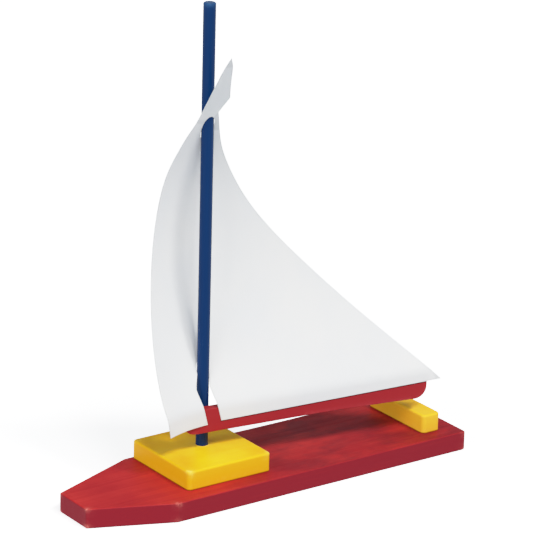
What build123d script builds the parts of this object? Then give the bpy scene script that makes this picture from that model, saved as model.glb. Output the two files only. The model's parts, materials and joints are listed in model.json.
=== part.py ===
from build123d import *
import math
import os

# Toy sailing boat in painted wood, millimetres.
# Origin: centre of the hull's flat underside. +X to the bow, +Y to port, +Z up.

# ---- hull: one flat board, square stern, and a hand-sawn bow that isn't symmetrical ----
hull_length = 280.0
hull_width = 78.7
hull_thickness = 13.2
nose_width = 31.3
nose_to_port = 1.6
bow_taper_port = 53.6
bow_taper_starboard = 63.8
hull_corner_radius = 1.5
hull_edge_radius = 1.0

# ---- mast step block: square block on the foredeck, bored for the mast ----
step_length = 63.0
step_width = 65.3
step_height = 12.5
step_from_bow = 100.7
step_to_starboard = 5.9

# ---- stern block: short bar across the deck ----
stern_length = 14.2
stern_width = 59.5
stern_height = 12.5
stern_from_transom = 13.4
stern_to_starboard = 1.1
block_corner_radius = 3.0
block_edge_radius = 1.6

# ---- mast: round dowel that stands on the deck inside the step block ----
mast_diameter = 8.0
mast_length = 302.0
mast_aft_of_step_centre = 2.1
mast_starboard_of_step_centre = 2.8
mast_bore_clearance = 0.05
mast_end_chamfer = 0.6

# ---- boom: slat on edge against the mast's port side ----
boom_angle = 7.0
boom_ahead_of_mast = 18.0
boom_behind_mast = 160.0
boom_height = 16.0
boom_tail_drop = 2.4
boom_tail_length = 70.0
boom_thickness = 6.4
boom_above_step = 11.4
boom_end_radius = 8.5
boom_belly_radius = 2000.0
boom_edge_radius = 0.7

# ---- sail: one sheet, glued to the boom, slotted and pierced for the mast ----
sheet_thickness = 0.5
sail_height = 247.4
sail_lap = 9.0
sail_lean = 32.0
sail_bend_radius = 6.0
sail_curl_radius = 85.0
sail_curl_behind_mast = 3.6
curl_sweep = 45.0
trim_sweep = 3.0
sail_mast_clearance = 0.5
clew_past_boom = 10.2
clew_rise = 2.6
tack_ahead_of_mast = 32.0
tack_drop = 2.2
slot_width = 10.1
slot_behind_mast = 3.2
slot_height = 21.5
slot_slant = 14.0

# The sheet's free edges, as (distance behind the mast, share of the sail's height).
hole_share = 0.806
luff_points = [
    (-36.0, 0.101),
    (-32.5, 0.347),
    (-26.1, 0.612),
    (-16.6, 0.731),
    (-9.0, 0.803),
    (-5.8, 0.892),
]
peak_point = (-6.4, 1.0)
tab_points = [(0.5, 0.957), (9.0, 0.861)]
waist_point = (4.5, 0.819)
leech_points = [(17.7, 0.679), (46.7, 0.501), (98.9, 0.28)]

# ---- brads ----
brad_diameter = 1.2
brad_head_diameter = 2.4
brad_head_thickness = 0.5
brad_sink = 0.3
brad_clearance = 0.02
brad_point_length = 1.0
brad_point_radius = 0.2
deck_brad_length = 19.0
step_brad_spacing = 40.0
stern_brad_spacing = 36.0
boom_brad_length = 12.0
boom_brad_spacing = 7.0

# ---- places worked out from the sizes above ----
deck = hull_thickness
step_top = deck + step_height
mast_radius = mast_diameter / 2
step_x = hull_length / 2 - step_from_bow
step_y = -step_to_starboard
stern_x = -hull_length / 2 + stern_from_transom + stern_length / 2
stern_y = -stern_to_starboard
mast_x = step_x - mast_aft_of_step_centre
mast_y = step_y - mast_starboard_of_step_centre
boom_bottom = step_top + boom_above_step
boom_top = boom_bottom + boom_height
boom_face = mast_radius + boom_thickness
sail_foot = boom_top - sail_lap
mast_room = mast_radius + sail_mast_clearance

# Three planes through the mast's axis, turned with the boom.
# side_plane: X aft along the boom, Y up, normal to port.
# cross_plane: X to port, Y up, normal forward.
boom_turn = math.radians(boom_angle)
aft = Vector(-math.cos(boom_turn), math.sin(boom_turn), 0)
port = Vector(math.sin(boom_turn), math.cos(boom_turn), 0)
mast_foot = Vector(mast_x, mast_y, 0)
side_plane = Plane(origin=mast_foot, x_dir=aft, z_dir=port)
cross_plane = Plane(origin=mast_foot, x_dir=port, z_dir=-aft)
mast_plane = Plane(origin=mast_foot, x_dir=aft, z_dir=(0, 0, 1))

step_brads = [
    (step_x + i * step_brad_spacing / 2, step_y + j * step_brad_spacing / 2)
    for i in (-1, 1)
    for j in (-1, 1)
]
stern_brads = [(stern_x, stern_y + j * stern_brad_spacing / 2) for j in (-1, 1)]
boom_brad_middle = (boom_bottom + boom_top) / 2
boom_brads = [(0, boom_brad_middle + j * boom_brad_spacing / 2) for j in (-1, 1)]
boom_brad_plane = side_plane.offset(-mast_radius)
head_pocket = brad_head_thickness + brad_sink

# The sheet's section across the boom: flat on the boom's face, a small bend at the boom's
# top edge that leans it to starboard, then one arc that brings it back to the mast's port
# side at the hole.
lean = math.radians(sail_lean)
bend_end = (
    boom_face - sail_bend_radius * (1 - math.cos(lean)),
    boom_top + sail_bend_radius * math.sin(lean),
)
hole_end = (mast_radius, sail_foot + hole_share * sail_height)
rise = hole_end[1] - bend_end[1]
drift = bend_end[0] - hole_end[0]
sail_arc_radius = math.hypot(rise, drift) / 2 / math.sin(lean - math.atan2(drift, rise))
arc_centre = (
    bend_end[0] + sail_arc_radius * math.cos(lean),
    bend_end[1] + sail_arc_radius * math.sin(lean),
)
peak_height = sail_foot + sail_height
peak_lean = math.degrees(math.asin((peak_height - arc_centre[1]) / sail_arc_radius))
arc_sweep = sail_lean + peak_lean + trim_sweep
sheet_end = boom_behind_mast + 2 * clew_past_boom
crossing_height = arc_centre[1] - math.sqrt(sail_arc_radius**2 - arc_centre[0] ** 2)


def outline_point(point):
    """A point of the sail's outline, its height given as a share of the sail's."""
    return point[0], sail_foot + point[1] * sail_height


def slot_middle(height):
    """How far behind the mast the slanted slot's middle lies at this height."""
    return slot_behind_mast - (height - sail_foot) * math.tan(math.radians(slot_slant))


def bore_for_brads(start, places, length):
    """Pilot holes and head pockets for brads driven along the start plane's normal."""
    bores = (brad_diameter, length), (brad_head_diameter, head_pocket)
    for diameter, depth in bores:
        with BuildSketch(start) as holes:
            with Locations(*places):
                Circle(diameter / 2 + brad_clearance)
        extrude(holes.sketch, amount=depth + brad_clearance, mode=Mode.SUBTRACT)


def drive_brads(start, places, length):
    """Pointed brads with their heads sunk below the start plane, driven along its normal."""
    with BuildSketch(start.offset(brad_sink)) as heads:
        with Locations(*places):
            Circle(brad_head_diameter / 2)
    extrude(heads.sketch, amount=brad_head_thickness)
    with BuildSketch(start.offset(head_pocket)) as shanks:
        with Locations(*places):
            Circle(brad_diameter / 2)
    driven = extrude(shanks.sketch, amount=length - head_pocket)
    tips = driven.edges().group_by(Axis(start.origin, start.z_dir))[-1]
    chamfer(tips, brad_point_length, brad_diameter / 2 - brad_point_radius)


# ---- hull ----
with BuildPart() as hull:
    with BuildSketch():
        with BuildLine():
            Polyline(
                (-hull_length / 2, -hull_width / 2),
                (hull_length / 2 - bow_taper_starboard, -hull_width / 2),
                (hull_length / 2, nose_to_port - nose_width / 2),
                (hull_length / 2, nose_to_port + nose_width / 2),
                (hull_length / 2 - bow_taper_port, hull_width / 2),
                (-hull_length / 2, hull_width / 2),
                close=True,
            )
        make_face()
    extrude(amount=hull_thickness)
    fillet(hull.edges().filter_by(Axis.Z), hull_corner_radius)
    fillet(hull.faces().filter_by(Axis.Z).edges(), hull_edge_radius)
    bore_for_brads(Plane.XY, step_brads + stern_brads, deck_brad_length)

# ---- mast step block ----
with BuildPart() as mast_step_block:
    with BuildSketch(Plane.XY.offset(deck)):
        with Locations((step_x, step_y)):
            Rectangle(step_length, step_width)
    extrude(amount=step_height)
    fillet(mast_step_block.edges().filter_by(Axis.Z), block_corner_radius)
    fillet(mast_step_block.faces().sort_by(Axis.Z)[-1].edges(), block_edge_radius)
    with BuildSketch(mast_plane.offset(deck)):
        Circle(mast_radius + mast_bore_clearance)
    extrude(amount=step_height, mode=Mode.SUBTRACT)
    bore_for_brads(Plane.XY, step_brads, deck_brad_length)

# ---- stern block ----
with BuildPart() as stern_block:
    with BuildSketch(Plane.XY.offset(deck)):
        with Locations((stern_x, stern_y)):
            Rectangle(stern_length, stern_width)
    extrude(amount=stern_height)
    fillet(stern_block.edges().filter_by(Axis.Z), block_corner_radius)
    fillet(stern_block.faces().sort_by(Axis.Z)[-1].edges(), block_edge_radius)
    bore_for_brads(Plane.XY, stern_brads, deck_brad_length)

# ---- mast ----
with BuildPart() as mast:
    with BuildSketch(mast_plane.offset(deck)):
        Circle(mast_radius)
    extrude(amount=mast_length)
    chamfer(mast.faces().filter_by(Axis.Z).edges(), mast_end_chamfer)
    bore_for_brads(boom_brad_plane, boom_brads, boom_brad_length)

# ---- boom: both lower corners rounded, the tail a little deeper ----
with BuildPart() as boom:
    with BuildSketch(side_plane.offset(mast_radius)):
        with BuildLine():
            lower_edge = FilletPolyline(
                (-boom_ahead_of_mast, boom_top),
                (-boom_ahead_of_mast, boom_bottom),
                (boom_behind_mast - boom_tail_length, boom_bottom),
                (boom_behind_mast, boom_bottom - boom_tail_drop),
                (boom_behind_mast, boom_top),
                radius=[boom_end_radius, boom_belly_radius, boom_end_radius],
            )
            Line(lower_edge @ 1, lower_edge @ 0)
        make_face()
    extrude(amount=boom_thickness)
    fillet(boom.faces().filter_by(Axis((0, 0, 0), port)).edges(), boom_edge_radius)
    bore_for_brads(boom_brad_plane, boom_brads, boom_brad_length)

# ---- sail ----
with BuildPart() as sail:
    # the bowed sheet, straight along the boom and curled to port ahead of the mast
    with BuildLine(mast_plane):
        along = Line((sheet_end, 0), (sail_curl_behind_mast, 0))
        JernArc(along @ 1, along % 1, sail_curl_radius, curl_sweep)
    with BuildSketch(cross_plane.offset(-sheet_end)):
        with BuildLine():
            lap = Line((boom_face, boom_bottom), (boom_face, boom_top))
            bend = JernArc(lap @ 1, lap % 1, sail_bend_radius, sail_lean)
            JernArc(bend @ 1, bend % 1, sail_arc_radius, -arc_sweep)
            offset(amount=sheet_thickness, side=Side.RIGHT)
        make_face()
    sweep()

    # the cut outline, seen square to the boom
    with BuildSketch(side_plane.offset(-sail_curl_radius)):
        with BuildLine():
            tack = (-tack_ahead_of_mast, sail_foot - tack_drop)
            clew = (boom_behind_mast + clew_past_boom, sail_foot + clew_rise)
            peak = outline_point(peak_point)
            waist = outline_point(waist_point)
            Polyline(clew, (slot_behind_mast, sail_foot), (slot_behind_mast, tack[1]), tack)
            Spline(tack, *map(outline_point, luff_points), peak)
            Spline(peak, *map(outline_point, tab_points))
            Line(outline_point(tab_points[-1]), waist)
            Spline(waist, *map(outline_point, leech_points), clew)
        make_face()
    extrude(amount=2 * sail_curl_radius, mode=Mode.INTERSECT)

    # the slanted slot at the foot, and the sheet's room round the mast
    slot_foot = tack[1] - tack_drop
    slot_top = sail_foot + slot_height
    with BuildSketch(side_plane):
        with BuildLine():
            Polyline(
                (slot_middle(slot_foot) - slot_width / 2, slot_foot),
                (slot_middle(slot_foot) + slot_width / 2, slot_foot),
                (slot_middle(slot_top) + slot_width / 2, slot_top),
                (slot_middle(slot_top) - slot_width / 2, slot_top),
                close=True,
            )
        make_face()
        with Locations((0, (slot_top + crossing_height) / 2)):
            Rectangle(2 * mast_room, crossing_height - slot_top)
    extrude(amount=sail_curl_radius, both=True, mode=Mode.SUBTRACT)
    with BuildSketch(mast_plane.offset(boom_top)):
        Circle(mast_room)
    extrude(amount=sail_height, mode=Mode.SUBTRACT)

# ---- brads: four up into the step block, two into the stern block, two through the mast ----
with BuildPart() as step_block_nails:
    drive_brads(Plane.XY, step_brads, deck_brad_length)
with BuildPart() as stern_block_nails:
    drive_brads(Plane.XY, stern_brads, deck_brad_length)
with BuildPart() as boom_nails:
    drive_brads(boom_brad_plane, boom_brads, boom_brad_length)

# ---- one STEP per piece ----
os.makedirs("parts", exist_ok=True)
hull.part.label = "hull"
export_step(hull.part, "parts/hull.step")
mast_step_block.part.label = "mast_step_block"
export_step(mast_step_block.part, "parts/mast_step_block.step")
stern_block.part.label = "stern_block"
export_step(stern_block.part, "parts/stern_block.step")
mast.part.label = "mast"
export_step(mast.part, "parts/mast.step")
boom.part.label = "boom"
export_step(boom.part, "parts/boom.step")
sail.part.label = "sail"
export_step(sail.part, "parts/sail.step")
step_block_nails.part.label = "step_block_nails"
export_step(step_block_nails.part, "parts/step_block_nails.step")
stern_block_nails.part.label = "stern_block_nails"
export_step(stern_block_nails.part, "parts/stern_block_nails.step")
boom_nails.part.label = "boom_nails"
export_step(boom_nails.part, "parts/boom_nails.step")
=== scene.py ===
import json
import math

import bmesh
import bpy
from mathutils import Matrix, Quaternion, Vector, kdtree, noise
from mathutils.geometry import delaunay_2d_cdt


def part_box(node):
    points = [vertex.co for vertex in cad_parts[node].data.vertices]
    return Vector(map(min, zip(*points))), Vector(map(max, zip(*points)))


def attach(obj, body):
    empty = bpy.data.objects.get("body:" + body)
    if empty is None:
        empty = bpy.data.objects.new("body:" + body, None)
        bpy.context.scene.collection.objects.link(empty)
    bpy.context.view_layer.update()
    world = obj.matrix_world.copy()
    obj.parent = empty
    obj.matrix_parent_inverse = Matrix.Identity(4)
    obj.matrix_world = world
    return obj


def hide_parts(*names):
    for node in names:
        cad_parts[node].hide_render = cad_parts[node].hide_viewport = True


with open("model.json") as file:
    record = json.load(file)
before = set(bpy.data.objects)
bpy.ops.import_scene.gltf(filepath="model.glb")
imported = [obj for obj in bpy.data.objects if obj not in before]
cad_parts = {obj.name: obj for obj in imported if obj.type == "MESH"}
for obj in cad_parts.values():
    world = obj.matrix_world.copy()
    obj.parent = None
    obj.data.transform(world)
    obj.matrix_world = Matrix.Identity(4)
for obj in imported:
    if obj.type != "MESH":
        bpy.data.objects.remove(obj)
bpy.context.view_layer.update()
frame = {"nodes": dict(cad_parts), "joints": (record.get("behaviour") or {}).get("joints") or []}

# Toy sailing boat: brushed paint on wood, one bowed paper sail. Metres, +X to the bow, +Y to port.
MM = 0.001

# ---------------------------------------------------------------- places read from the frame
mast_low, mast_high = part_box("mast")
boom_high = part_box("boom")[1]
sail_low, sail_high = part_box("sail")
step_low, step_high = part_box("mast_step_block")
mast_axis = Vector((*frame["joints"][0]["pos_m"][:2], 0))
mast_radius = (mast_high.x - mast_low.x) / 2

# ---------------------------------------------------------------- the boom and its own directions
boom_angle = math.radians(7)
boom_thickness = 6.4 * MM
boom_top = boom_high.z
aft = Vector((-math.cos(boom_angle), math.sin(boom_angle), 0))
port = Vector((math.sin(boom_angle), math.cos(boom_angle), 0))
up = Vector((0, 0, 1))

# ---------------------------------------------------------------- the sail's cut and its bow
paper_thickness = 0.35 * MM
paper_middle = mast_radius + boom_thickness + 0.2 * MM
tack_drop = 2.2 * MM
clew_rise = 2.6 * MM
sail_foot = sail_low.z + tack_drop
sail_height = sail_high.z - sail_foot
sail_lean = math.radians(32)
bend_radius = 5.8 * MM
curl_radius = 85.0 * MM
curl_start = 3.6 * MM
mast_room = mast_radius + 0.3 * MM
hole_share = 0.806
slot_width = 10.1 * MM
slot_behind_mast = 3.2 * MM
slot_height = 21.5 * MM
slot_slant = math.tan(math.radians(14))
wave_height = 0.7 * MM
wave_pitch = 16.0
wave_ramp = 30 * MM
mast_search = 30 * MM
grid_step = 3.5 * MM
row_share = 0.87
cut_shade_width = 0.8 * MM

# Free edges, as (millimetres behind the mast, share of the sail's height above its foot).
tack = (-32.0, -tack_drop / sail_height)
clew = (170.2, clew_rise / sail_height)
luff_points = [(-36.0, 0.101), (-32.5, 0.347), (-26.1, 0.612), (-16.6, 0.731), (-9.0, 0.803), (-5.8, 0.892)]
peak = (-6.4, 1.0)
tab_points = [(0.5, 0.957), (9.0, 0.861)]
waist = (4.5, 0.819)
leech_points = [(17.7, 0.679), (46.7, 0.501), (98.9, 0.28)]

# The bow is one arc, from the small bend at the boom's top edge to the mast's port side.
bend_end = Vector((
    paper_middle - bend_radius * (1 - math.cos(sail_lean)),
    boom_top + bend_radius * math.sin(sail_lean),
))
drift = bend_end.x - mast_radius
rise = sail_foot + hole_share * sail_height - bend_end.y
arc_radius = math.hypot(rise, drift) / 2 / math.sin(sail_lean - math.atan2(drift, rise))
arc_centre = bend_end + arc_radius * Vector((math.cos(sail_lean), math.sin(sail_lean)))


def bow_offset(height):
    """How far to port of the mast's axis the sheet lies at this height, behind the mast."""
    if height <= boom_top:
        return paper_middle
    if height <= bend_end.y:
        return paper_middle - bend_radius + math.sqrt(bend_radius**2 - (height - boom_top) ** 2)
    return arc_centre.x - math.sqrt(arc_radius**2 - (height - arc_centre.y) ** 2)


def sheet_offset(behind, height):
    """The same anywhere on the sheet, with the curl to port ahead of the mast."""
    offset = bow_offset(height)
    if behind >= curl_start:
        return offset
    return curl_radius - math.sqrt((curl_radius - offset) ** 2 - (curl_start - behind) ** 2)


def sheet_point(behind, height):
    """A point of the sheet, with the slight waves of real paper away from boom and mast."""
    free = min(1, max(0, (height - boom_top) / wave_ramp)) * min(1, abs(behind) / wave_ramp)
    wave = noise.noise(Vector((behind, height, 0)) * wave_pitch) * wave_height * free
    return mast_axis + aft * behind + port * (sheet_offset(behind, height) + wave) + up * height


def cut_point(point):
    return Vector((point[0] * MM, sail_foot + point[1] * sail_height))


def cut_line(start, end):
    """Points along a straight cut, its end left out."""
    parts = max(1, round((end - start).length / grid_step))
    return [start.lerp(end, k / parts) for k in range(parts)]


def cut_curve(points, per_span=10):
    """Points along a smooth cut through these places, its end left out."""
    places = [cut_point(p) for p in points]
    padded = [places[0] * 2 - places[1], *places, places[-1] * 2 - places[-2]]
    line = []
    for a, b, c, d in zip(padded, padded[1:], padded[2:], padded[3:]):
        for k in range(per_span):
            t = k / per_span
            straight = 2 * b + (c - a) * t
            line.append(
                0.5 * (straight + (2 * a - 5 * b + 4 * c - d) * t**2 + (3 * b - a - 3 * c + d) * t**3)
            )
    return line


def meets_mast(height, degrees):
    """Where a cut from the mast's axis at this height leaves the room kept round the mast. It
    goes at this angle on the flat sheet, 0 aft and 90 up."""
    place = Vector((0, height))
    direction = Vector((math.cos(math.radians(degrees)), math.sin(math.radians(degrees))))
    near, far = 0.0, mast_search
    for _ in range(40):
        middle = (near + far) / 2
        spot = place + direction * middle
        if math.hypot(spot.x, sheet_offset(spot.x, spot.y)) < mast_room:
            near = middle
        else:
            far = middle
    return place + direction * far


def axis_crossing(low, high):
    """The height between these two at which the sheet crosses the mast's axis."""
    leans_in = sheet_offset(0, low) > 0
    for _ in range(40):
        middle = (low + high) / 2
        if (sheet_offset(0, middle) > 0) == leans_in:
            low = middle
        else:
            high = middle
    return (low + high) / 2


def slot_side(height, side):
    """A point on the slanted slot's fore side, -1, or its aft side, 1."""
    middle = slot_behind_mast - (height - sail_foot) * slot_slant
    return Vector((middle + side * slot_width / 2, height))


def within(borders, spot):
    """Whether the spot lies inside the closed borders, by the borders crossed on the way to +X."""
    crossed = 0
    for a, b in borders:
        if (a.y > spot.y) != (b.y > spot.y):
            crossed += spot.x < a.x + (b.x - a.x) * (spot.y - a.y) / (b.y - a.y)
    return crossed % 2 == 1


def make_sail():
    """The cut sheet: outline with its slanted slot, the hole near the head, and a fine grid inside."""
    slot_top = sail_foot + slot_height
    lower_crossing = axis_crossing(boom_top, arc_centre.y)
    upper_crossing = axis_crossing(arc_centre.y, sail_high.z)
    arch = [meets_mast(lower_crossing, 180 - 9 * k) for k in range(21)]
    fore_slot_foot = slot_side(sail_foot - tack_drop * 0.6, -1)
    outline = [
        *cut_curve([tack, *luff_points, peak]),
        *cut_curve([peak, *tab_points]),
        *cut_line(cut_point(tab_points[-1]), cut_point(waist)),
        *cut_curve([waist, *leech_points, clew]),
        *cut_line(cut_point(clew), slot_side(sail_foot, 1)),
        *cut_line(slot_side(sail_foot, 1), slot_side(slot_top, 1)),
        *cut_line(slot_side(slot_top, 1), arch[-1]),
        *reversed(arch),
        *cut_line(arch[0], slot_side(slot_top, -1))[1:],
        *cut_line(slot_side(slot_top, -1), fore_slot_foot),
        *cut_line(fore_slot_foot, cut_point(tack)),
    ]
    hole = [meets_mast(upper_crossing, 12 * k) for k in range(30)]
    rim = outline + hole
    n, m = len(outline), len(hole)
    cuts = [(k, (k + 1) % n) for k in range(n)] + [(n + k, n + (k + 1) % m) for k in range(m)]
    borders = [(rim[a], rim[b]) for a, b in cuts]
    edge = kdtree.KDTree(len(rim))
    for k, p in enumerate(rim):
        edge.insert(p.to_3d(), k)
    edge.balance()
    columns = [p.x / grid_step for p in outline]
    rows = math.ceil((sail_high.z - sail_low.z) / (grid_step * row_share))
    inside = []
    for i in range(math.floor(min(columns)), math.ceil(max(columns)) + 1):
        for j in range(rows + 1):
            spot = Vector(((i + 0.5 * (j % 2)) * grid_step, sail_low.z + j * grid_step * row_share))
            if within(borders, spot) and edge.find(spot.to_3d())[2] > 0.6 * grid_step:
                inside.append(spot)
    # the triangulation is in millimetres, because it fails on sizes as small as these in metres
    places, _, faces, *_ = delaunay_2d_cdt([p / MM for p in rim + inside], cuts, [], 0, 1e-4)
    places = [p * MM for p in places]
    faces = [f for f in faces if within(borders, sum((places[k] for k in f), Vector((0, 0))) / 3)]
    return solid_sheet("paper_sail", places, faces, edge)


def solid_sheet(name, places, faces, rim):
    """Both faces of the paper and its cut edge. places are flat; rim finds the nearest cut."""
    middle = [sheet_point(p.x, p.y) for p in places]
    facing = [Vector((0, 0, 0)) for _ in places]
    borders = {}
    for f in faces:
        normal = (middle[f[1]] - middle[f[0]]).cross(middle[f[2]] - middle[f[0]])
        for k, corner in enumerate(f):
            facing[corner] += normal
            borders[corner, f[k - 1]] = borders.get((corner, f[k - 1]), 0) + 1
    half = [n.normalized() * (paper_thickness / 2) if n.length else n for n in facing]
    count = len(places)
    corners = [p + h for p, h in zip(middle, half)] + [p - h for p, h in zip(middle, half)]
    solid = [list(f) for f in faces] + [[count + k for k in reversed(f)] for f in faces]
    cut = [(a, b) for a, b in borders if (b, a) not in borders]
    solid += [[a, b, count + b, count + a] for a, b in cut]
    data = bpy.data.meshes.new(name)
    data.from_pydata(corners, [], solid)
    data.validate()
    data.shade_smooth()
    sharp = {frozenset(c) for a, b in cut for c in ((a, b), (count + a, count + b))}
    for e in data.edges:
        e.use_edge_sharp = frozenset(e.vertices) in sharp
    share = data.attributes.new("edge", "FLOAT", "POINT")
    for k in range(2 * count):
        share.data[k].value = math.exp(-rim.find(places[k % count].to_3d())[2] / cut_shade_width)
    sail = bpy.data.objects.new(name, data)
    bpy.context.scene.collection.objects.link(sail)
    return sail


# ---------------------------------------------------------------- wooden pieces
merge_distance = 0.001 * MM
flat_angle = math.radians(0.4)
sharp_angle = math.radians(32)
flat_cosine = 0.995
wear_and_highlight_width = 1.1 * MM
standing_height = 0.05 * MM
x_way, y_way, z_way = Vector((1, 0, 0)), Vector((0, 1, 0)), Vector((0, 0, 1))


def cut_across(bm, direction, low, high, step):
    """Divides the faces of a board by planes at even steps along a direction."""
    count = round((high - low) / step)
    for k in range(1, count):
        place = direction * (low + (high - low) * k / count)
        bmesh.ops.bisect_plane(
            bm, geom=bm.verts[:] + bm.edges[:] + bm.faces[:],
            plane_co=place, plane_no=direction, dist=merge_distance,
        )


def worked_piece(node, name, step, directions, hollow, pitch):
    """A finished copy of a CAD piece: faces divided at even steps along the directions, that dip
    by up to hollow as sanded wood does, and the nearness to a rounded edge in the edge attribute,
    which the paint uses for worn chips and for a painted edge highlight. What lies at its lowest
    height, where it stands, isn't dipped or worn."""
    bm = bmesh.new()
    bm.from_mesh(frame["nodes"][node].data)
    bmesh.ops.remove_doubles(bm, verts=bm.verts, dist=merge_distance)
    bmesh.ops.dissolve_limit(bm, angle_limit=flat_angle, verts=bm.verts, edges=bm.edges)
    for direction in directions:
        reach = [v.co.dot(direction) for v in bm.verts]
        cut_across(bm, direction, min(reach), max(reach), step)
    bm.normal_update()
    rounded = [
        v for v in bm.verts
        if any(v.normal.dot(f.normal) < flat_cosine for f in v.link_faces)
    ]
    edges = kdtree.KDTree(len(rounded))
    for k, v in enumerate(rounded):
        edges.insert(v.co, k)
    edges.balance()
    low_z = min(v.co.z for v in bm.verts)
    shares, moved = [], []
    for v in bm.verts:
        sits = v.co.z < low_z + standing_height
        shares.append(0.0 if sits else math.exp(-edges.find(v.co)[2] / wear_and_highlight_width))
        dip = (0.5 + 0.5 * noise.noise(v.co * pitch)) * hollow
        moved.append(v.co if sits else v.co - v.normal * dip)
    for v, place in zip(bm.verts, moved):
        v.co = place
    for e in bm.edges:
        e.smooth = len(e.link_faces) == 2 and e.calc_face_angle(0) < sharp_angle
    for f in bm.faces:
        f.smooth = True
    data = bpy.data.meshes.new(name)
    bm.to_mesh(data)
    bm.free()
    if "custom_normal" in data.attributes:
        data.attributes.remove(data.attributes["custom_normal"])
    edge_share = data.attributes.new("edge", "FLOAT", "POINT")
    for k, share in enumerate(shares):
        edge_share.data[k].value = share
    piece = bpy.data.objects.new(name, data)
    bpy.context.scene.collection.objects.link(piece)
    weighted = piece.modifiers.new("even_shading", "WEIGHTED_NORMAL")
    weighted.keep_sharp = True
    return piece


# ---------------------------------------------------------------- material helpers
def add_node(tree, kind, values=None, **settings):
    node = tree.nodes.new(kind)
    for key, value in settings.items():
        setattr(node, key, value)
    for key, value in (values or {}).items():
        node.inputs[key].default_value = value
    return node


def feed(tree, node, values):
    """Gives each numbered input its value: a socket is linked, and a plain value is set."""
    for place, value in values.items():
        if isinstance(value, bpy.types.NodeSocket):
            tree.links.new(value, node.inputs[place])
        else:
            node.inputs[place].default_value = value


def linear(colour):
    """An sRGB colour of 0 to 255 as the linear colour that a shader takes."""
    return [((c / 255 + 0.055) / 1.055) ** 2.4 if c > 10 else c / 255 / 12.92 for c in colour] + [1.0]


def scaled_noise(tree, coordinates, scale, turn=0.0, detail=3.0, roughness=0.55, distortion=0.0):
    """A noise texture in object coordinates, stretched by a scale for each axis, in cycles a metre."""
    place = add_node(tree, "ShaderNodeMapping", {"Rotation": (0, 0, turn), "Scale": scale})
    tree.links.new(coordinates, place.inputs["Vector"])
    texture = add_node(
        tree, "ShaderNodeTexNoise",
        {"Scale": 1.0, "Detail": detail, "Roughness": roughness, "Distortion": distortion},
    )
    tree.links.new(place.outputs["Vector"], texture.inputs["Vector"])
    return texture.outputs["Fac"]


def spread(tree, value, low, high, to_low, to_high):
    """The value moved from the first range to the second, and kept inside it."""
    node = add_node(
        tree, "ShaderNodeMapRange",
        {"From Min": low, "From Max": high, "To Min": to_low, "To Max": to_high}, clamp=True,
    )
    tree.links.new(value, node.inputs["Value"])
    return node.outputs["Result"]


def mixed(tree, share, a, b):
    """Two colours mixed: a where the share is 0, b where it is 1."""
    node = add_node(tree, "ShaderNodeMix", data_type="RGBA")
    feed(tree, node, {0: share, 6: a, 7: b})
    return node.outputs[2]


def joined(tree, operation, a, b):
    node = add_node(tree, "ShaderNodeMath", operation=operation)
    feed(tree, node, {0: a, 1: b})
    return node.outputs["Value"]


def all_of(tree, *shares):
    """The shares multiplied, so that the result is full only where every one is full."""
    result = shares[0]
    for share in shares[1:]:
        result = joined(tree, "MULTIPLY", result, share)
    return result


def along_way(tree, value, direction):
    """How far a place or a normal reaches along a direction."""
    node = add_node(tree, "ShaderNodeVectorMath", operation="DOT_PRODUCT")
    feed(tree, node, {0: value, 1: direction})
    return node.outputs["Value"]


def bumped(tree, height, strength, distance, below=None):
    node = add_node(tree, "ShaderNodeBump", {"Strength": strength, "Distance": distance})
    tree.links.new(height, node.inputs["Height"])
    if below is not None:
        tree.links.new(below, node.inputs["Normal"])
    return node.outputs["Normal"]


def edge_attribute(tree):
    node = add_node(tree, "ShaderNodeAttribute", attribute_name="edge", attribute_type="GEOMETRY")
    return node.outputs["Fac"]


def new_material(name):
    material = bpy.data.materials.new(name)
    material.use_nodes = True
    tree = material.node_tree
    shader = tree.nodes["Principled BSDF"]
    coordinates = add_node(tree, "ShaderNodeTexCoord").outputs["Object"]
    return material, tree, shader, coordinates


# ---------------------------------------------------------------- paint
# Each paint is four colours: on upper faces where it is thin and where it is thick, on upright
# faces, and where an edge is rubbed. The upright colour is painted light and shade, not another
# paint: it sets upright faces apart from upper ones for how the light falls on them, darker on the
# hull. The rubbed colour is real wear in chips, and also a painted highlight along rounded edges.
RED = (188, 42, 38), (162, 30, 34), (134, 26, 38), (212, 110, 100)
BOOM_RED = (160, 40, 44), (148, 30, 36), (154, 34, 40), (182, 70, 74)
YELLOW = (255, 206, 22), (236, 168, 6), (242, 174, 18), (255, 216, 90)
# Painted light: the stern block's yellow is a lighter copy of the step block's, standing in for light on
# its faces.
LIGHTENED_STERN_YELLOW = (255, 198, 40), (255, 184, 38), (255, 188, 46), (255, 216, 100)
BLUE = (6, 56, 104), (2, 42, 88), (2, 42, 88), (60, 100, 144)
# Painted shadow: the dark line that the sail's foot casts on the boom.
SAIL_SHADOW_PAINT = (86, 12, 24)
# Painted shade: the deck aft of the step block, darkened where the sail and boom shade it.
DECK_SHADE_PAINT = (112, 22, 32)
# Painted shade: the dark line where each block sits on the deck.
SEAT_SHADE_PAINT = (128, 50, 14)

ALONG_X, ALONG_Y, ALONG_Z = range(3)
sail_shadow_width = 1.1 * MM
deck_shade_start, deck_shade_full = step_high.x, step_low.x - 20 * MM
seat_line = step_low.z + 0.3 * MM
seat_fade = step_low.z + 0.9 * MM


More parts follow.
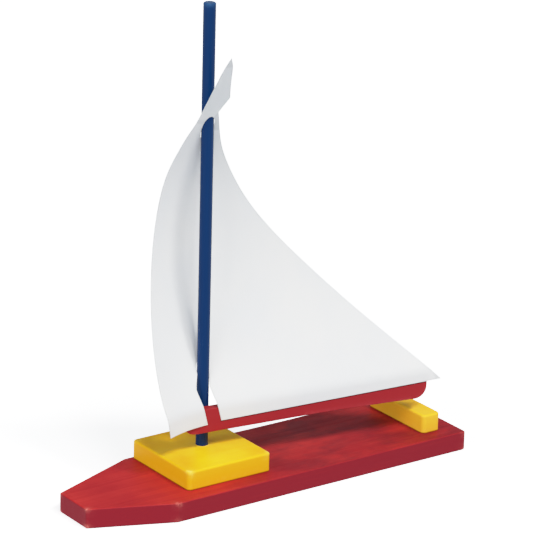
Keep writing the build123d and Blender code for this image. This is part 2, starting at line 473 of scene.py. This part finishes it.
def painted_sail_shadow(tree, coordinates, normal):
    """The share of painted shadow on the boom's port face: a thin dark line just below the sail's
    foot, behind the slot, where the sail's edge shades the boom."""
    foot_slope = clew_rise / (clew[0] * MM)
    foot = sail_foot - aft.dot(mast_axis) * foot_slope
    height = along_way(tree, coordinates, up - aft * foot_slope)
    slot_end = aft.dot(mast_axis) + slot_side(sail_foot, 1).x
    behind = along_way(tree, coordinates, aft)
    return all_of(
        tree,
        spread(tree, height, foot - sail_shadow_width, foot - 0.6 * sail_shadow_width, 0.0, 1.0),
        spread(tree, height, foot, foot + 0.5 * sail_shadow_width, 1.0, 0.0),
        spread(tree, behind, slot_end - sail_shadow_width, slot_end, 0.0, 1.0),
        spread(tree, along_way(tree, normal, port), 0.6, 0.9, 0.0, 1.0),
    )


def painted_deck_shade(tree, coordinates, facing_up):
    """The share of painted shade on the deck, where the sail and boom shade it: patches that grow
    from the step block towards the stern.
    """
    patches = scaled_noise(tree, coordinates, (30, 60, 60), detail=5, roughness=0.6, distortion=0.4)
    return all_of(
        tree,
        spread(tree, along_way(tree, coordinates, x_way), deck_shade_full, deck_shade_start, 0.75, 0.0),
        spread(tree, patches, 0.4, 0.62, 0.25, 1.0),
        spread(tree, facing_up, 0.4, 0.9, 0.0, 1.0),
    )


def painted_wood(
    name, paint, grain, roughness,
    turn=0.0, wear=1.0, streaks=0.3, shine_level=0.1, sail_shadowed=False, deck_shaded=False, seat_shaded=False,
):
    """Brush paint on wood. grain is the way of the grain and of the brush, after the turn about Z,
    and streaks is how strongly the brush shows. Upright faces take the side colour and upper faces
    the upper colours, as painted light and shade, and rounded edges take a painted highlight besides
    worn chips. A sail-shadowed boom gets a painted shadow line along the sail's foot, a deck-shaded
    hull painted shade on its deck aft of the step block, and a seat-shaded block a painted shade
    line where it sits."""
    material, tree, shader, coordinates = new_material(name)
    thin, full, side, worn = (linear(colour) for colour in paint)

    def stretched(slow, fast):
        return [slow if axis == grain else fast for axis in range(3)]

    clouds = scaled_noise(tree, coordinates, (28, 28, 28), detail=4)
    strokes = scaled_noise(tree, coordinates, stretched(8, 190), turn, detail=5, distortion=0.9)
    fibres = scaled_noise(tree, coordinates, stretched(22, 1500), turn, detail=3, roughness=0.65)
    peel = scaled_noise(tree, coordinates, (900, 900, 900), detail=2)
    chips = scaled_noise(tree, coordinates, (260, 260, 260), detail=4, roughness=0.7)
    normal = add_node(tree, "ShaderNodeTexCoord").outputs["Normal"]
    facing_up = along_way(tree, normal, up)
    # Rubbed edges: worn chips, and under them a painted highlight of about a quarter share along every
    # rounded edge.
    rubbed_and_highlit = all_of(tree, edge_attribute(tree), spread(tree, chips, 0.47, 0.6, 0.26, wear))

    upper = mixed(tree, spread(tree, clouds, 0.3, 0.7, 0.0, 1.0), thin, full)
    # Painted light and shade: upright faces take the side colour, upper faces the upper colours.
    colour = mixed(tree, spread(tree, facing_up, 0.2, 0.9, 0.0, 1.0), side, upper)
    colour = mixed(tree, spread(tree, strokes, 0.4, 0.62, 0.0, streaks), colour, side)
    colour = mixed(tree, spread(tree, fibres, 0.58, 0.8, 0.0, 0.3), colour, thin)
    colour = mixed(tree, rubbed_and_highlit, colour, worn)
    # Painted shade on the deck under the sail and boom.
    if deck_shaded:
        colour = mixed(tree, painted_deck_shade(tree, coordinates, facing_up), colour, linear(DECK_SHADE_PAINT))
    # Painted shadow of the sail's foot on the boom.
    if sail_shadowed:
        colour = mixed(tree, painted_sail_shadow(tree, coordinates, normal), colour, linear(SAIL_SHADOW_PAINT))
    # Painted shade where the block sits on the deck.
    if seat_shaded:
        line = spread(tree, along_way(tree, coordinates, up), seat_line, seat_fade, 0.85, 0.0)
        colour = mixed(tree, line, colour, linear(SEAT_SHADE_PAINT))
    tree.links.new(colour, shader.inputs["Base Color"])

    cloudy = spread(tree, clouds, 0.3, 0.7, roughness - 0.05, roughness + 0.06)
    brushed = joined(tree, "ADD", cloudy, spread(tree, strokes, 0.36, 0.64, -0.03, 0.05))
    dulled = joined(tree, "ADD", brushed, joined(tree, "MULTIPLY", rubbed_and_highlit, 0.12))
    tree.links.new(dulled, shader.inputs["Roughness"])
    relief = bumped(tree, spread(tree, strokes, 0.36, 0.64, 0.0, 1.0), 0.5, 0.04 * MM)
    relief = bumped(tree, fibres, 0.5, 0.04 * MM, relief)
    relief = bumped(tree, peel, 0.25, 0.03 * MM, relief)
    tree.links.new(relief, shader.inputs["Normal"])
    shader.inputs["Specular IOR Level"].default_value = shine_level
    return material


# ---------------------------------------------------------------- paper and steel
def paper():
    """Matt white paper: faint clouding, fine fibres, a cut edge a shade darker, and some light
    that comes through."""
    material, tree, shader, coordinates = new_material("white_paper")
    clouds = scaled_noise(tree, coordinates, (22, 22, 14), detail=3)
    fibres = scaled_noise(tree, coordinates, (1300, 1300, 1900), detail=4, roughness=0.7)
    cool, warm = linear((242, 243, 244)), linear((248, 247, 245))
    fibre, cut = linear((228, 228, 226)), linear((222, 222, 220))
    colour = mixed(tree, spread(tree, clouds, 0.3, 0.7, 0.0, 1.0), cool, warm)
    colour = mixed(tree, spread(tree, fibres, 0.55, 0.8, 0.0, 0.5), colour, fibre)
    colour = mixed(tree, spread(tree, edge_attribute(tree), 0.7, 1.0, 0.0, 0.5), colour, cut)
    tree.links.new(colour, shader.inputs["Base Color"])
    tree.links.new(spread(tree, fibres, 0.3, 0.7, 0.82, 0.95), shader.inputs["Roughness"])
    relief = bumped(tree, fibres, 0.35, 0.02 * MM)
    tree.links.new(bumped(tree, clouds, 0.3, 0.3 * MM, relief), shader.inputs["Normal"])
    shader.inputs["Specular IOR Level"].default_value = 0.25
    through = add_node(tree, "ShaderNodeBsdfTranslucent")
    tree.links.new(colour, through.inputs["Color"])
    both = add_node(tree, "ShaderNodeMixShader", {0: 0.22})
    tree.links.new(shader.outputs["BSDF"], both.inputs[1])
    tree.links.new(through.outputs["BSDF"], both.inputs[2])
    tree.links.new(both.outputs["Shader"], tree.nodes["Material Output"].inputs["Surface"])
    return material


def steel():
    """Drawn wire brads: fine drawing lines, and dull spots on the heads."""
    material, tree, shader, coordinates = new_material("brad_steel")
    lines = scaled_noise(tree, coordinates, (2400, 2400, 160), detail=2)
    spots = scaled_noise(tree, coordinates, (700, 700, 700), detail=4)
    dark, bright, dull = linear((150, 149, 146)), linear((186, 186, 184)), linear((104, 92, 80))
    colour = mixed(tree, spread(tree, lines, 0.35, 0.65, 0.0, 1.0), dark, bright)
    colour = mixed(tree, spread(tree, spots, 0.55, 0.7, 0.0, 0.7), colour, dull)
    tree.links.new(colour, shader.inputs["Base Color"])
    tree.links.new(spread(tree, spots, 0.4, 0.7, 0.28, 0.6), shader.inputs["Roughness"])
    tree.links.new(bumped(tree, lines, 0.4, 0.02 * MM), shader.inputs["Normal"])
    shader.inputs["Metallic"].default_value = 1.0
    return material


# ---------------------------------------------------------------- the boat
def finish_piece(piece, node, body, material):
    piece.data.materials.clear()
    piece.data.materials.append(material)
    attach(piece, body)
    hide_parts(node)


every_way = x_way, y_way, z_way
hull = worked_piece("hull", "hull_board", 3.0 * MM, every_way, 0.22 * MM, 30)
step_block = worked_piece("mast_step_block", "step_block", 2.5 * MM, every_way, 0.2 * MM, 38)
stern_block = worked_piece("stern_block", "stern_bar", 2.5 * MM, every_way, 0.2 * MM, 38)
mast = worked_piece("mast", "mast_dowel", 3.0 * MM, (z_way,), 0.05 * MM, 60)
boom = worked_piece("boom", "boom_slat", 2.5 * MM, (aft, z_way), 0.1 * MM, 45)
sail = make_sail()

hull_paint = painted_wood("red_paint_hull", RED, ALONG_X, 0.46, streaks=0.24, deck_shaded=True)
step_paint = painted_wood("yellow_paint_step", YELLOW, ALONG_X, 0.42, streaks=0.2, seat_shaded=True)
# Painted light: the lighter copy of the yellow on the stern block.
stern_paint = painted_wood("yellow_paint_stern_lightened", LIGHTENED_STERN_YELLOW, ALONG_Y, 0.42, streaks=0.2, seat_shaded=True)
mast_paint = painted_wood("blue_paint_mast", BLUE, ALONG_Z, 0.2, wear=0.5, shine_level=0.14)
boom_paint = painted_wood(
    "red_paint_boom", BOOM_RED, ALONG_X, 0.44, turn=boom_angle, wear=0.5, sail_shadowed=True
)

finish_piece(hull, "hull", "hull", hull_paint)
finish_piece(step_block, "mast_step_block", "hull", step_paint)
finish_piece(stern_block, "stern_block", "hull", stern_paint)
finish_piece(mast, "mast", "rig", mast_paint)
finish_piece(boom, "boom", "rig", boom_paint)
finish_piece(sail, "sail", "rig", paper())

brad_steel = steel()
for node in ("step_block_nails", "stern_block_nails", "boom_nails"):
    for brad_slot in frame["nodes"][node].material_slots:
        brad_slot.link = "OBJECT"
        brad_slot.material = brad_steel


# ---------------------------------------------------------------- floor, lights and camera
sun_elevation = 55


def add_floor(size, glow):
    """A pale floor that takes soft shadows. The boat's paint neither mirrors it nor is lit by it."""
    h = size / 2
    data = bpy.data.meshes.new("floor")
    data.from_pydata([(-h, -h, 0), (h, -h, 0), (h, h, 0), (-h, h, 0)], [], [(0, 1, 2, 3)])
    floor = bpy.data.objects.new("floor", data)
    bpy.context.scene.collection.objects.link(floor)
    material, tree, shader, coordinates = new_material("pale_floor")
    tint = spread(tree, scaled_noise(tree, coordinates, (3, 3, 3)), 0.3, 0.7, 0.0, 1.0)
    pale = mixed(tree, tint, linear((246, 246, 247)), linear((249, 249, 248)))
    tree.links.new(pale, shader.inputs["Base Color"])
    shader.inputs["Roughness"].default_value = 0.9
    shader.inputs["Specular IOR Level"].default_value = 0.1
    shader.inputs["Emission Color"].default_value = (1, 1, 1, 1)
    shader.inputs["Emission Strength"].default_value = glow
    data.materials.append(material)
    floor.visible_diffuse = False
    floor.visible_glossy = False


def toward(azimuth, elevation):
    """The direction from the boat to a light or a camera; azimuth 0 is over the bow, 90 to port."""
    a, e = math.radians(azimuth), math.radians(elevation)
    return Vector((math.cos(a) * math.cos(e), math.sin(a) * math.cos(e), math.sin(e)))


def add_light(light, direction, distance=0.0):
    """Puts a light in this direction, facing the boat. A sun needs no distance."""
    holder = bpy.data.objects.new(light.name, light)
    holder.location = direction * distance
    holder.rotation_euler = direction.to_track_quat("Z", "Y").to_euler()
    bpy.context.scene.collection.objects.link(holder)


def add_sun(name, azimuth, strength, width):
    """A sun; width is how many degrees of the sky it takes up, so wider is softer."""
    sun = bpy.data.lights.new(name, "SUN")
    sun.energy = strength
    sun.angle = math.radians(width)
    sun.color = (1.0, 0.985, 0.96)
    add_light(sun, toward(azimuth, sun_elevation))


def add_room(sky, ground):
    """The light all round: from a dim ceiling above, and from a pale floor below."""
    world = bpy.data.worlds.new("studio")
    world.use_nodes = True
    room = world.node_tree
    height = along_way(room, add_node(room, "ShaderNodeTexCoord").outputs["Generated"], up)
    colour = mixed(room, spread(room, height, -0.3, 0.3, 0.0, 1.0), ground, sky)
    room.links.new(colour, room.nodes["Background"].inputs["Color"])
    bpy.context.scene.world = world


def set_film(shoulder, white_level):
    """Film's soft shoulder: values up to 0.4 stay about as they are, and lighter ones are pressed
    together, so that only white_level and above show as full white."""
    view = bpy.context.scene.view_settings
    view.view_transform = "Standard"
    view.use_curve_mapping = True
    view.curve_mapping.white_level = (white_level,) * 3
    tone = view.curve_mapping.curves[3]
    tone.points[0].location = shoulder[0]
    tone.points[1].location = shoulder[-1]
    for place in shoulder[1:-1]:
        tone.points.new(*place)
    view.curve_mapping.update()


add_floor(size=8.0, glow=0.95)

add_sun("key_light", azimuth=111, strength=1.7, width=12)
add_sun("second_light", azimuth=85, strength=1.4, width=16)

bow_light = bpy.data.lights.new("bow_light", "AREA")
bow_light.shape = "SQUARE"
bow_light.size = 1.4
bow_light.energy = 22.0
add_light(bow_light, toward(14, 22), distance=2.0)

add_room(sky=(0.29, 0.32, 0.36, 1), ground=(0.86, 0.93, 1.0, 1))
set_film(shoulder=[(0.0, 0.0), (0.2, 0.4), (0.4, 0.70), (0.65, 0.885), (1.0, 1.0)], white_level=2.0)

camera_azimuth, camera_elevation, camera_roll = 54.52, 19.88, 1.49
camera_distance = 2.063
camera_target = Vector((0, 0, 0.112))
aim_right, aim_up = 9.24 * MM, 22.02 * MM


def camera_axes(forward):
    """The camera's right and up directions, rolled, for the way it looks."""
    right = forward.cross(z_way).normalized()
    upward = right.cross(forward)
    roll = Quaternion(-forward, math.radians(camera_roll))
    return roll @ right, roll @ upward


camera_data = bpy.data.cameras.new("camera")
camera_data.lens = 213.5
camera_data.sensor_width = 36.0
camera_data.clip_end = 50
camera = bpy.data.objects.new("camera", camera_data)
bpy.context.scene.collection.objects.link(camera)
eye = camera_target + toward(camera_azimuth, camera_elevation) * camera_distance
right, upward = camera_axes((camera_target - eye).normalized())
forward = (camera_target + right * aim_right + upward * aim_up - eye).normalized()
right, upward = camera_axes(forward)
camera.matrix_world = Matrix.Translation(eye) @ Matrix((right, upward, -forward)).transposed().to_4x4()
bpy.context.scene.camera = camera
